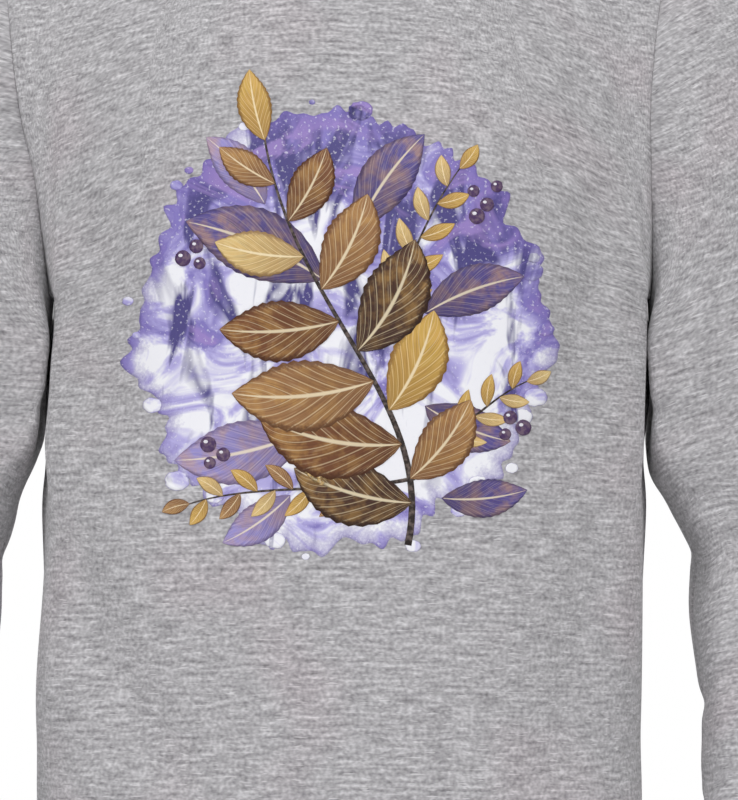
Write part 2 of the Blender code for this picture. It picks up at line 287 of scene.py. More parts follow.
def vectors(x, y, z):
    """Points from three coordinates, each a number or a grid."""
    return np.stack(np.broadcast_arrays(x, y, z), -1)


def smooth_step(x):
    """3 x^2 - 2 x^3 between 0 and 1, and level outside them."""
    x = np.clip(x, 0, 1)
    return x * x * (3 - 2 * x)


def bezier(p0, p1, p2, p3, u):
    """The cubic Bezier curve from p0, towards p1, then from the side of p2 to p3, as u goes from 0 to 1."""
    return (1 - u) ** 3 * p0 + 3 * (1 - u) ** 2 * u * p1 + 3 * (1 - u) * u**2 * p2 + u**3 * p3


def along(stations, height):
    """Every column of a table of heights, read at other heights on cubic Hermite curves through its rows,
    with slopes taken from the neighbouring rows."""
    table = stations[np.argsort(stations[:, 0])]
    z, values = table[:, 0], table[:, 1:]
    slopes = np.gradient(values, z, axis=0)
    height = np.clip(height, z[0], z[-1])
    i = np.clip(np.searchsorted(z, height) - 1, 0, len(z) - 2)
    span = (z[i + 1] - z[i])[..., None]
    u = (height - z[i])[..., None] / span
    rise = values[i] * (2 * u**3 - 3 * u**2 + 1) + values[i + 1] * (3 * u**2 - 2 * u**3)
    return rise + span * (slopes[i] * (u**3 - 2 * u**2 + u) + slopes[i + 1] * (u**3 - u**2))


def wander(x, y, seed, waves=9):
    """A smooth random field of about -1 to 1: a sum of plane waves whose directions, lengths (around one
    unit of x and y) and phases are drawn from a seeded generator."""
    draw = np.random.default_rng(seed)
    total = 0
    for _ in range(waves):
        turn, pace, phase = draw.uniform(0, np.pi), draw.uniform(0.6, 1.7), draw.uniform(0, 2 * np.pi)
        total = total + np.sin(2 * np.pi * pace * (x * np.cos(turn) + y * np.sin(turn)) + phase)
    return total / np.sqrt(waves * 1.4)


def swayed(points, table=BODY_SWAY):
    """Points with the garment's uneven hang: nothing at the middle, and a shift by height and side from
    where the chest ends outwards."""
    right, left = np.moveaxis(along(table, points[..., 2]), -1, 0)
    x = points[..., 0]
    moved = points.copy()
    moved[..., 0] += smooth_step((np.abs(x) - 0.05) / 0.12) * np.where(x < 0, right, left)
    return moved


def armhole(angle):
    """The armhole seam: an upright oval, 0 at the shoulder tip, a half turn at the underarm, the front
    between. Low on the front it is squarer, a smaller power of the sine, where the arm pushes the cloth
    forward."""
    half_height = (SHOULDER_TIP[2] - UNDERARM[2]) / 2
    z = UNDERARM[2] + half_height * (1 + np.cos(angle))
    lean = (z - UNDERARM[2]) / (2 * half_height)
    sine = np.sin(angle)
    forward = FRONT_ARMHOLE_DEPTH * np.clip(sine, 0, 1) ** (1 - 0.58 * smooth_step(0.5 - np.cos(angle)))
    return UNDERARM + (SHOULDER_TIP - UNDERARM) * vectors(lean, lean, 0) + vectors(
        0, -forward + BACK_ARMHOLE_DEPTH * np.clip(-sine, 0, 1), z - UNDERARM[2])


def shoulder_line(across):
    """The top of the garment, 0 at the middle and 1 at the shoulder tip: a straight slope rounded off by a
    hyperbola inside the neck."""
    def run(x):
        return np.hypot(x, NECK_ROUNDING) - NECK_ROUNDING
    x = SHOULDER_TIP[0] * across
    slope = (NECK_SIDE_Z - SHOULDER_TIP[2]) / (run(SHOULDER_TIP[0]) - run(NECK_HALF_WIDTH))
    return vectors(x, SHOULDER_TIP[1], SHOULDER_TIP[2] + slope * (run(SHOULDER_TIP[0]) - run(x)))


def neck_cut(across, face):
    """How much of the way from the chest to the shoulder line is left standing below the neckline: all of it
    outside the neck, and less inside by a power of 1 - x^2, with x across the neck from -1 to 1."""
    lowest = FRONT_NECK_CUT if face < 0 else BACK_NECK_CUT
    return 1 - (1 - lowest) * np.clip(1 - (across / NECK_SHARE) ** 2, 0, 1) ** NECK_ROUNDNESS


def lift(row):
    """How far a row lies from the waist seam to the chest, and from there to the top, each from 0 to 1."""
    return np.clip(row / CHEST_SHARE, 0, 1), np.clip((row - CHEST_SHARE) / (1 - CHEST_SHARE), 0, 1)


def bell(x, width):
    """exp(-(x / width)^2): 1 in the middle and a third of that one width away."""
    return np.exp(-((x / width) ** 2))


def draped(row, across, face):
    """The panel before its armhole is cut: half of a squared oval below the underarm, and above it a Bezier
    curve for each column, which leaves upright and comes to the shoulder line level, as far as the neckline
    lets it. Beside the arm the front's corner bulges and the side is pressed in, each by a bell."""
    low, high = lift(row)
    pressed = smooth_step((low - 0.17) / 0.50) * (1 - high) ** 2
    corner = smooth_step((across - 0.5) / 0.4) * pressed * (face < 0)
    power = 2 / (TORSO_SQUARENESS + (CHEST_SQUARENESS - TORSO_SQUARENESS) * pressed + ARM_SQUARENESS * corner)
    sine = np.sin(across * np.pi / 2) ** power
    cosine = np.clip(np.cos(across * np.pi / 2), 0, 1) ** power
    z = WAIST_SEAM_Z + (UNDERARM[2] - WAIST_SEAM_Z) * low
    half_width, front_depth, back_depth = np.moveaxis(along(TORSO, z), -1, 0)
    depth = front_depth if face < 0 else back_depth
    bulge = CORNER_BULGE * smooth_step((z - 0.26) / 0.05) * (face < 0) * bell(cosine - 0.53, 0.08)
    width = half_width + bulge - SIDE_DENT * bell(z - 0.320, 0.023) * bell(cosine, 0.30)
    tube = vectors(width * sine, face * depth * cosine + UNDERARM[1] * low * sine**4, z)
    top = shoulder_line(across)
    rise = (top - tube)[..., 2:]
    start = tube + vectors(0.06 * sine, 0.03 * face * cosine, 1) * 0.50 * rise
    end = top - unit(np.array([0, -face, 0.12])) * SHOULDER_HANDLE
    return bezier(tube, start, end, top, (high * neck_cut(across, face))[..., None])


def panel(rows, columns, face):
    """The panel as sewn: the draped shape, drawn over to the armhole seam by the fifth power of the share
    across."""
    row, column = np.meshgrid(rows, columns, indexing="ij")
    across = np.abs(column)
    high = lift(row)[1]
    seam = armhole(np.pi * (1 - high) * -face)
    drawn = np.where(high[..., None] > 0, seam - draped(row, np.ones_like(row), face), 0)
    points = draped(row, across, face) + drawn * across[..., None] ** 5
    points[..., 0] *= np.where(column < 0, -1, 1)
    return points


def normals_of(points, closed=False):
    """Unit normals of a grid of points, from the differences between neighbours."""
    if closed:
        wrapped = np.concatenate([points[:, -1:], points, points[:, :1]], axis=1)
        right = wrapped[:, 2:] - wrapped[:, :-2]
    else:
        right = np.gradient(points, axis=1)
    return unit(np.cross(right, np.gradient(points, axis=0)))


def distance_along(points, axis, closed=False):
    """Distance along the grid's rows or columns from their first point. closed adds the step back to it."""
    steps = np.diff(points, axis=axis)
    if closed:
        steps = np.concatenate([steps, points[:, :1] - points[:, -1:]], axis=1)
    lengths = np.linalg.norm(steps, axis=-1)
    return np.concatenate([np.zeros_like(np.take(lengths, [0], axis)), np.cumsum(lengths, axis)], axis)


def fold_relief(x, z, folds):
    """The sum of soft folds: each is a bell across its slightly bowed line and fades towards both ends."""
    total = np.zeros_like(x)
    for start, end, bow, width, height in folds:
        (x0, z0), (x1, z1) = start, end
        length = np.hypot(x1 - x0, z1 - z0)
        ux, uz = (x1 - x0) / length, (z1 - z0) / length
        run = ((x - x0) * ux + (z - z0) * uz) / length
        off = (x - x0) * -uz + (z - z0) * ux - bow * np.sin(np.pi * np.clip(run, 0, 1))
        ends = np.where((run > 0) & (run < 1), np.sin(np.pi * np.clip(run, 0, 1)) ** 1.2, 0)
        total += height * ends * bell(off, width)
    return total


def seam_roll(distance, height=0.0017, width=0.0042):
    """How far cloth stands up beside a sewn edge: height times 1 - exp(-(distance / width)^1.6)."""
    return height * (1 - np.exp(-((distance / width) ** 1.6)))


def puckers(distance, length, seed, height=0.0007, pitch=0.0115, reach=0.0090):
    """The small pleats beside an overlocked seam: a sine along it, unevenly spaced and high, that fades with
    the distance from it."""
    beat = 2 * np.pi * length / pitch + 2.2 * wander(length / 0.05, 0 * length, seed)
    fade = np.exp(-distance / reach) * (1 - np.exp(-distance / 0.0015))
    return height * np.sin(beat) * fade * (0.6 + 0.4 * wander(length / 0.04, 0 * length, seed + 1))


def grid_object(name, points, uv, closed=False, closed_rows=False):
    """A smooth mesh object from a grid of points, with its cloth coordinates (metres along the courses and
    up the wales) in a UV map. uv has one more column than the points if closed, and one more row if
    closed_rows."""
    rows, columns = points.shape[:2]
    last_row, last_column = rows - (not closed_rows), columns - (not closed)
    i, j = (k.ravel() for k in np.meshgrid(np.arange(last_row), np.arange(last_column), indexing="ij"))
    i2, j2 = (i + 1) % rows, (j + 1) % columns
    faces = np.stack([i * columns + j, i * columns + j2, i2 * columns + j2, i2 * columns + j], -1)
    corners = np.stack([uv[i, j], uv[i, j + 1], uv[i + 1, j + 1], uv[i + 1, j]], 1)
    mesh = bpy.data.meshes.new(name)
    mesh.vertices.add(rows * columns)
    mesh.vertices.foreach_set("co", points.astype(np.float32).ravel())
    mesh.loops.add(faces.size)
    mesh.loops.foreach_set("vertex_index", faces.astype(np.int32).ravel())
    mesh.polygons.add(len(faces))
    mesh.polygons.foreach_set("loop_start", np.arange(0, faces.size, 4, dtype=np.int32))
    mesh.update(calc_edges=True)
    mesh.validate()
    mesh.uv_layers.new(name="cloth").data.foreach_set("uv", corners.astype(np.float32).ravel())
    mesh.shade_smooth()
    return add_object(name, mesh)


def thicken(piece, thickness, **settings):
    """Gives a sheet its thickness, inwards unless the settings say otherwise."""
    solidify = piece.modifiers.new("thickness", "SOLIDIFY")
    solidify.thickness = thickness
    solidify.offset = -1
    for key, value in settings.items():
        setattr(solidify, key, value)


HEATHER_MID = (0.440, 0.430, 0.446, 1)
HEATHER_DARK = (0.168, 0.162, 0.171, 1)
HEATHER_LIGHT = (0.840, 0.826, 0.848, 1)
MID_TONE = 0.71


def heather(name, streak=1.0, climb=1.0, ribbed=False):
    """Heather grey knit. Dark and light fibres drawn out along the courses and shorter tufts of both make
    the tone, over broad faint clouds. Sparse pale and dark slubs lie on top, and a faint warm or cool cast
    wanders over the cloth. The same tone and the fine stitch columns raise the surface. Ribbed cloth gets
    painted shade in its furrows, which lie half a pitch from the whole steps of RIB_PITCH along the courses."""
    n = Nodes(name)
    flat = n.map_of("cloth")
    sway = n.maths("MULTIPLY_ADD", n.noise(flat, 0.020, 0.012), 0.0016, -0.0008)
    shift = n.add("CombineXYZ", {"Y": sway}).outputs[0]
    cloth = n.add("VectorMath", {0: flat, 1: shift}, operation="ADD").outputs[0]
    tone = n.maths("MULTIPLY", n.noise(flat, 0.017, 0.012), 0.10)
    for share, across, up in (
            (0.30, 0.0019, 0.0012), (0.49, 0.0029, 0.0024), (0.53, 0.0165 * streak, 0.0024 * climb)):
        tone = n.maths("MULTIPLY_ADD", n.noise(cloth, across, up), share, tone)
    colour = n.mix(n.stretch(tone, MID_TONE - 0.55, MID_TONE, 1.0, 0.0), HEATHER_MID, HEATHER_DARK)
    colour = n.mix(n.stretch(tone, MID_TONE, MID_TONE + 0.62), colour, HEATHER_LIGHT)
    slubs = n.noise(cloth, *((0.0011, 0.0070) if ribbed else (0.0100, 0.0011)))
    colour = n.mix(n.stretch(slubs, 0.77, 0.84, 0.0, 0.55), colour, HEATHER_LIGHT)
    colour = n.mix(n.stretch(slubs, 0.22, 0.15, 0.0, 0.40), colour, HEATHER_DARK)
    warm = n.mix(1.0, colour, (1.026, 0.982, 0.992, 1), "MULTIPLY")
    colour = n.mix(n.stretch(n.noise(flat, 0.085, 0.070, detail=1.0), 0.50, 0.78), colour, warm)
    if ribbed:
        # Painted shade: the colour is darkened in the furrows between the ribs, where shadow would fall.
        course = n.add("SeparateXYZ", {0: flat}).outputs[0]
        step = n.maths("FRACT", n.maths("DIVIDE", course, RIB_PITCH), 0.0)
        off_ridge = n.maths("ABSOLUTE", n.maths("SUBTRACT", step, 0.5), 0.0)
        furrow_painted_shade = n.stretch(off_ridge, 0.05, 0.26, 0.60, 1.06)
        shade = n.add("CombineXYZ", {k: furrow_painted_shade for k in "XYZ"}).outputs[0]
        colour = n.mix(1.0, colour, shade, "MULTIPLY")
    height = n.maths("MULTIPLY_ADD", tone, 0.9, n.maths("MULTIPLY", n.noise(flat, 0.0011, 0.0040), 0.25))
    return n.finish(
        Base_Color=colour, Normal=n.bump(height, 0.5, 0.0011), Roughness=0.92, Sheen_Weight=0.3,
        Sheen_Roughness=0.5, Specular_IOR_Level=0.12)


def brushed_inside(name):
    """The napped inside of the fleece: paler, without the streaks, covered in soft curled fibre."""
    n = Nodes(name)
    nap = n.noise(n.map_of("cloth"), 0.0032, 0.0026, detail=4.0, roughness=0.7, warp=0.8)
    colour = n.mix(n.stretch(nap, 0.3, 0.7), (0.40, 0.395, 0.41, 1), (0.56, 0.555, 0.57, 1))
    return n.finish(
        Base_Color=colour, Normal=n.bump(nap, 0.8, 0.0012), Roughness=0.95, Sheen_Weight=0.4,
        Sheen_Roughness=0.6, Specular_IOR_Level=0.08)


fleece = heather("heather_grey_fleece")
fleece_inside = brushed_inside("brushed_fleece_inside")


def finish_fleece(piece, node):
    """Gives a panel or a sleeve its outside and inside and its thickness, and puts it in its node's place."""
    piece.data.materials.append(fleece)
    piece.data.materials.append(fleece_inside)
    thicken(piece, CLOTH, use_quality_normals=True, material_offset=1)
    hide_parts(node)
    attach(piece, "root")


PANEL_HALF_COLUMNS = 108
PANEL_LOW_ROWS = 92
PANEL_HIGH_ROWS = 96
SEAM_EDGE = 0.0012  # how far from a seam all relief dies away


def eased(count, sharpness=1.25):
    """Values from 0 to 1 that lie closer together towards 1."""
    return 1 - (1 - np.linspace(0, 1, count + 1)) ** sharpness


half_columns = eased(PANEL_HALF_COLUMNS)
panel_columns = np.concatenate([-half_columns[:0:-1], half_columns])
low_rows = (1 - eased(PANEL_LOW_ROWS)[::-1]) * CHEST_SHARE
high_rows = CHEST_SHARE + (1 - CHEST_SHARE) * eased(PANEL_HIGH_ROWS, 1.15)
panel_rows = np.concatenate([low_rows, high_rows[1:]])


def sew_panel(face, folds, seed):
    """The panel's points with its relief: seam rolls along all four edges, puckers at the armholes, gathers
    over the waistband, soft folds, hollows below the front of the armholes, and the gentle unevenness of
    hanging cloth. Returns them with cloth coordinates, whose courses are level below and arch over the chest,
    where they fall towards the armholes."""
    base = panel(panel_rows, panel_columns, face)
    out = normals_of(base) * -face
    up = distance_along(base, 0)
    side = distance_along(base, 1)
    side = side - side[:, [len(panel_columns) // 2]]
    to_side = np.minimum(side[:, -1:] - side, side - side[:, :1])
    to_top = up[-1:] - up
    to_end = np.minimum(to_top, up)
    seams = np.minimum(to_side, to_end)
    x, z = base[..., 0], base[..., 2]
    above_underarm = smooth_step((z - UNDERARM[2]) / 0.02)
    hollows = HOLLOW * (face < 0) * bell(z - 0.345, 0.070) * bell(np.abs(x) - 0.145, 0.045)
    gathers = GATHER * np.exp(-up / 0.020) * (1 - np.exp(-up / 0.004)) * wander(side / 0.017, up / 0.30, seed)
    uneven = UNEVENNESS * wander(x / 0.16, z / 0.20, seed + 3) * (1 - np.exp(-seams / 0.02))
    quiet = 1 - 0.85 * bell(to_side, 0.035) * (1 - above_underarm)
    relief = (
        seam_roll(to_end) * bell(to_end, 0.030)
        + seam_roll(to_side, 0.0003) * above_underarm
        - SIDE_GROOVE * bell(to_side, 0.0050) * (1 - above_underarm)
        - hollows
        + quiet * (gathers + uneven + fold_relief(x, z, folds))
        + puckers(to_side, up, seed + 5, height=0.0006, pitch=0.0070, reach=0.0060) * above_underarm
        + puckers(up, side, seed + 7, height=0.0005, pitch=0.009)
        + puckers(to_top, side, seed + 9, height=0.0003, pitch=0.010)
    )
    points = swayed(base + out * (relief * (1 - np.exp(-seams / SEAM_EDGE)))[..., None])
    back_from_chest = smooth_step((z - 0.34) / 0.12) * np.abs(base[..., 1] - 0.115 * face)
    course = z + 0.60 * back_from_chest + 0.15 * x**2
    return points, out, np.stack([side + 0.7 * (face > 0), course], -1)


front_points, front_out, front_cloth = sew_panel(-1, FRONT_FOLDS, 11)
front = grid_object("front_fleece", front_points, front_cloth)
back_points, back_out, back_cloth = sew_panel(1, BACK_FOLDS, 23)
back = grid_object("back_fleece", back_points[:, ::-1], back_cloth[:, ::-1])
finish_fleece(front, "front_panel")
finish_fleece(back, "back_panel")


# ---- Chest print -----------------------------------------------------------------------------------------
# A transfer of plastisol ink, a tenth of a millimetre thick, is pressed onto the front: a spray of autumn
# leaves over a wash of lavender and violet. Each leaf, stem and berry is a film of its own, and lies on those
# printed before it.
INK = 0.00009
PRINT_MIDDLE = (0.0005, 0.3925)
WASH_SIZE = (0.121, 0.130)

front_normals = normals_of(front_points)


def on_front(x, z, height):
    """Points over the front panel at given places across and up. The place on the panel's grid is found from
    a flat guess by Newton steps on its bilinear patches, and the point is raised along the normal."""
    rows, columns = front_points.shape[:2]
    row = np.interp(z, front_points[:, columns // 2, 2], np.arange(rows))
    column = np.interp(x, front_points[rows // 2, :, 0], np.arange(columns))
    for _ in range(8):
        i = np.clip(row.astype(int), 0, rows - 2)
        j = np.clip(column.astype(int), 0, columns - 2)
        u, v = (row - i)[..., None], (column - j)[..., None]
        low, high = front_points[i, j], front_points[i + 1, j]
        low_next, high_next = front_points[i, j + 1], front_points[i + 1, j + 1]
        point = (low * (1 - u) + high * u) * (1 - v) + (low_next * (1 - u) + high_next * u) * v
        by_row = (high - low) * (1 - v) + (high_next - low_next) * v
        by_column = (low_next - low) * (1 - u) + (high_next - high) * u
        off_x, off_z = x - point[..., 0], z - point[..., 2]
        area = by_row[..., 0] * by_column[..., 2] - by_column[..., 0] * by_row[..., 2]
        row = row + (off_x * by_column[..., 2] - by_column[..., 0] * off_z) / area
        column = column + (by_row[..., 0] * off_z - by_row[..., 2] * off_x) / area
    return point + front_normals[i, j] * np.asarray(height)[..., None]


def print_film(name, patches, material):
    """One mesh from several grids of ink, with the points that coincide joined. A patch is its places across
    and up, its height over the cloth, its two coordinates for the material (UV map "ink"), and its tint."""
    points, faces, ink, tints = [], [], [], []
    start = 0
    for x, z, height, u, v, tint in patches:
        rows, columns = x.shape
        placed = on_front(x + PRINT_MIDDLE[0], z + PRINT_MIDDLE[1], np.broadcast_to(height, x.shape))
        i, j = np.meshgrid(np.arange(rows - 1), np.arange(columns - 1), indexing="ij")
        corner = start + (i * columns + j).ravel()
        faces.append(np.stack([corner, corner + 1, corner + columns + 1, corner + columns], -1))
        points.append(placed.reshape(-1, 3))
        ink.append(np.stack([u, v], -1).reshape(-1, 2))
        tints.append(np.broadcast_to(np.array([*tint, 1.0]), (rows * columns, 4)))
        start += rows * columns
    points, faces, ink, tints = (np.concatenate(part) for part in (points, faces, ink, tints))
    mesh = bpy.data.meshes.new(name)
    mesh.from_pydata(points, [], faces.tolist())
    mesh.uv_layers.new(name="ink").data.foreach_set("uv", ink[faces.ravel()].astype(np.float32).ravel())
    colours = mesh.color_attributes.new("tint", "FLOAT_COLOR", "POINT")
    colours.data.foreach_set("color", tints.astype(np.float32).ravel())
    first, second, third, fourth = (points[faces[:, k]] for k in range(4))
    if np.cross(third - first, fourth - second)[:, 1].sum() > 0:
        mesh.flip_normals()
    joined = bmesh.new()
    joined.from_mesh(mesh)
    bmesh.ops.remove_doubles(joined, verts=joined.verts, dist=1e-7)
    joined.to_mesh(mesh)
    joined.free()
    mesh.shade_smooth()
    mesh.materials.append(material)
    film = add_object(name, mesh)
    thicken(film, INK)
    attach(film, "root")
    return film


def disc(x, z, radius_x, radius_z, height, tint, seed, rings=4, spokes=28, rough=0.0):
    """A round patch from rings and spokes, whose rim wanders by the share given in rough. Its coordinates are
    the share of the radius and the turn."""
    share, turn = np.meshgrid(np.linspace(0, 1, rings), np.linspace(0, 2 * np.pi, spokes), indexing="ij")
    around = 2.2 * np.cos(turn), 2.2 * np.sin(turn)
    rim = 1 + rough * (wander(*around, seed) + 0.5 * wander(around[0] * 4, around[1] * 4, seed + 1))
    across, up = radius_x * share * rim * np.cos(turn), radius_z * share * rim * np.sin(turn)
    return x + across, z + up, height, share, turn / (2 * np.pi), tint


def ribbon(path, start_width, end_width, height, tint):
    """A tapering stroke along a cubic Bezier path: coordinates run along it and from side to side."""
    t, side = np.meshgrid(np.linspace(0, 1, 36), np.linspace(-1, 1, 5), indexing="ij")
    line = bezier(*(np.array(p) for p in path), t[..., None])
    ahead = unit(np.gradient(line, axis=0))
    half = (start_width + (end_width - start_width) * t) / 2 * side
    return line[..., 0] - ahead[..., 1] * half, line[..., 1] + ahead[..., 0] * half, height, t, side, tint


def leaf(base, direction, length, width, bend, height, tint, teeth=0.0, rows=34, columns=14):
    """A leaf: its midrib is an arc of the given length that turns by bend, and its half width follows
    sin(pi t^0.8)^0.9, with small teeth cut into the edge. Coordinates run along the midrib and across it,
    from -1 to 1."""
    t, side = np.meshgrid(np.linspace(0, 1, rows), np.linspace(-1, 1, columns), indexing="ij")
    turn = direction + bend * (t - 0.5)
    steps = np.stack([np.cos(turn[:, 0]), np.sin(turn[:, 0])], -1) * length / (rows - 1)
    rib = np.array(base) + np.concatenate([[[0, 0]], np.cumsum(steps[:-1], axis=0)])
    edge = np.sin(np.pi * t**0.8) ** 0.9 * (1 + teeth * (1 - (t * 11) % 1) * np.abs(side) ** 6)
    half = width / 2 * edge * side
    x = rib[:, :1] - np.sin(turn) * half + np.cos(turn) * np.abs(half) * 0.35
    z = rib[:, 1:] + np.cos(turn) * half + np.sin(turn) * np.abs(half) * 0.35
    return x, z, height, t, side, tint


def ink_of(n, colour):
    """The satin finish of dried ink, in a colour."""
    return n.finish(Base_Color=colour, Roughness=0.48, Specular_IOR_Level=0.35)


def upright(n):
    """Metres across and up the front: the garment's axes turned so that up is the second."""
    return n.add("Mapping", {"Vector": n.place(), "Rotation": (np.pi / 2, 0, 0)}).outputs[0]


def tint_of(n):
    """The colour that each leaf, stem or berry carries on its points."""
    return n.add("Attribute", attribute_name="tint").outputs["Color"]


def wash_ink():
    """Watercolour: white and lavender pools with violet where the pigment gathered, and a dark dried rim."""
    n = Nodes("watercolour_wash_ink")
    flat = upright(n)
    higher = n.stretch(n.add("SeparateXYZ", {0: n.place()}).outputs[2], 0.30, 0.50, -0.10, 0.07)
    pools = n.maths("ADD", n.noise(flat, 0.050, 0.034, detail=4.0, roughness=0.55, warp=0.9), higher)
    depth = n.maths("ADD", n.noise(flat, 0.022, 0.070, detail=3.0, roughness=0.6, warp=0.5), higher)
    grain = n.noise(flat, 0.0022, 0.0022, detail=2.0)
    share = n.add("SeparateXYZ", {0: n.map_of("ink")}).outputs[0]
    rim = n.maths("ADD", share, n.maths("MULTIPLY_ADD", grain, 0.10, -0.05))
    colour = (0.93, 0.93, 0.98, 1)
    for value, low, high, most, pigment in (
            (pools, 0.41, 0.50, 1.0, (0.50, 0.46, 0.80, 1)),
            (pools, 0.50, 0.60, 1.0, (0.24, 0.20, 0.54, 1)),
            (depth, 0.50, 0.62, 1.0, (0.075, 0.062, 0.23, 1)),
            (pools, 0.62, 0.70, 0.8, (0.36, 0.25, 0.60, 1)),
            (rim, 0.90, 1.00, 0.75, (0.20, 0.15, 0.47, 1)),
            (grain, 0.62, 0.74, 0.5, (0.88, 0.88, 0.95, 1))):
        colour = n.mix(n.stretch(value, low, high, 0.0, most), colour, pigment)
    return ink_of(n, colour)


def leaf_ink(name, vein_light, rim_dark):
    """The leaf's tint, streaked along its side veins, with a pale midrib, pale veins and a darker rim."""
    n = Nodes(name)
    tint = tint_of(n)
    split = n.add("SeparateXYZ", {0: n.map_of("ink")})
    t, side = split.outputs[0], n.maths("ABSOLUTE", split.outputs[1], 0.0)
    flat = upright(n)
    blot = n.noise(flat, 0.012, 0.012, detail=3.0, roughness=0.6)
    fleck = n.noise(flat, 0.0016, 0.0016, detail=1.0)
    slant = n.maths("MULTIPLY_ADD", t, 9.0, n.maths("MULTIPLY", side, -3.0))
    saw = n.maths("ABSOLUTE", n.maths("SUBTRACT", n.maths("FRACT", slant, 0.0), 0.5), 0.0)
    vein = n.maths("MULTIPLY", n.stretch(saw, 0.41, 0.48), vein_light)
    hair = n.noise(n.add("CombineXYZ", {"X": slant, "Y": side}).outputs[0], 0.18, 0.60, detail=1.0)
    rim = n.maths("MULTIPLY_ADD", fleck, 0.16, side)
    stalk_end = n.mix(1.0, tint, (0.40, 0.30, 0.28, 1), "MULTIPLY")
    dark = n.mix(1.0, tint, (0.42, 0.34, 0.32, 1), "MULTIPLY")
    pale = n.mix(0.55, tint, (0.93, 0.78, 0.50, 1))
    colour = n.mix(n.stretch(blot, 0.40, 0.66), tint, n.mix(0.40, tint, (0.70, 0.40, 0.11, 1)))
    colour = n.mix(n.stretch(t, 0.05, 0.75, 0.65, 0.0), colour, stalk_end)
    colour = n.mix(n.stretch(hair, 0.52, 0.78, 0.0, 0.60), colour, dark)
    colour = n.mix(n.stretch(hair, 0.42, 0.26, 0.0, 0.22), colour, pale)
    colour = n.mix(vein, colour, pale)
    colour = n.mix(n.stretch(side, 0.075, 0.035), colour, n.mix(0.75, tint, (0.93, 0.80, 0.55, 1)))
    colour = n.mix(n.stretch(rim, 0.90, 1.02, 0.0, rim_dark), colour, dark)
    return ink_of(n, colour)


def stroke_ink():
    """Stems and berries: their own tint, mottled."""
    n = Nodes("stem_and_berry_ink")
    mottle = n.noise(upright(n), 0.003, 0.003, detail=2.0)
    return ink_of(n, n.mix(n.stretch(mottle, 0.4, 0.7, 0.0, 0.22), tint_of(n), (0.60, 0.46, 0.40, 1)))


UMBER = (0.075, 0.028, 0.014)
RUSSET = (0.200, 0.072, 0.024)
TAN = (0.360, 0.180, 0.070)
GOLD = (0.640, 0.400, 0.090)
HONEY = (0.760, 0.560, 0.240)
BARK = (0.022, 0.014, 0.012)
VIOLET = (0.110, 0.085, 0.300)
LAVENDER = (0.330, 0.290, 0.640)
PLUM = (0.070, 0.030, 0.110)
SNOW = (0.860, 0.860, 0.930)

# The order of printing: height over the cloth of each kind of film.
WASH_LIES, SPATTER_LIES, SHADE_LIES, STROKE_LIES = 0.00014, 0.00018, 0.00024, 0.00034
SPRIG_LIES, LEAF_LIES, BERRY_LIES, GLINT_LIES = 0.00036, 0.00040, 0.00052, 0.00062

wash_edge = np.random.default_rng(5)
wash = [disc(0, 0, *WASH_SIZE, WASH_LIES, SNOW, 31, rings=60, spokes=420, rough=0.055)]
for _ in range(26):
    turn, far = wash_edge.uniform(0, 2 * np.pi), wash_edge.uniform(0.97, 1.07)
    size = wash_edge.uniform(0.0012, 0.0058)
    wash.append(disc(
        WASH_SIZE[0] * far * np.cos(turn), WASH_SIZE[1] * far * np.sin(turn), size * 1.3, size, SPATTER_LIES,
        SNOW, wash_edge.integers(1000), spokes=24, rough=0.06))

# The main stem rises from low on the right to high on the left, and two thinner ones leave it to the right.
MAIN_STEM = ((0.040, -0.128), (0.058, -0.040), (-0.030, 0.010), (-0.046, 0.118))
UPPER_SPRIG = ((0.018, -0.012), (0.040, 0.030), (0.044, 0.060), (0.072, 0.098))
LOWER_SPRIG = ((0.049, -0.070), (0.075, -0.060), (0.088, -0.040), (0.112, -0.030))
LEFT_SPRIG = ((0.044, -0.088), (0.000, -0.098), (-0.050, -0.090), (-0.092, -0.104))
strokes = [
    ribbon(path, start_width, end_width, STROKE_LIES, BARK) for path, start_width, end_width in (
        (MAIN_STEM, 0.0042, 0.0012), (UPPER_SPRIG, 0.0022, 0.0007), (LOWER_SPRIG, 0.0020, 0.0007),
        (LEFT_SPRIG, 0.0024, 0.0007))]


def stem_place(path, share):
    """A place on a stem and the direction it grows in there."""
    here, ahead = (bezier(*(np.array(p) for p in path), s) for s in (share, share + 0.01))
    return here, np.arctan2(*(ahead - here)[::-1])


# Share along the main stem, side (1 is left of the way it grows), turn from it, length, width, bend and tint.
MAIN_LEAVES = (
    (0.10, 1, 1.25, 0.074, 0.036, 0.5, UMBER),
    (0.16, -1, 0.80, 0.060, 0.029, -0.5, TAN),
    (0.25, 1, 1.05, 0.088, 0.042, 0.6, RUSSET),
    (0.34, -1, 0.85, 0.066, 0.032, -0.5, GOLD),
    (0.42, 1, 1.15, 0.086, 0.040, 0.5, TAN),
    (0.50, -1, 1.00, 0.076, 0.037, -0.6, UMBER),
    (0.58, 1, 1.10, 0.072, 0.034, 0.4, RUSSET),
    (0.66, -1, 0.95, 0.064, 0.031, -0.5, TAN),
    (0.74, 1, 0.95, 0.054, 0.025, 0.4, HONEY),
    (0.82, -1, 0.85, 0.050, 0.024, -0.4, RUSSET),
    (0.90, 1, 0.70, 0.040, 0.018, 0.3, TAN),
    (0.985, 1, 0.05, 0.044, 0.019, 0.3, GOLD),
)
leaves = []
for index, (share, hand, turn, length, width, bend, tint) in enumerate(MAIN_LEAVES):
    at, growing = stem_place(MAIN_STEM, share)
    height = LEAF_LIES + 0.00003 * index
    leaves.append(leaf(at, growing + hand * turn, length, width, -bend, height, tint, teeth=0.10))

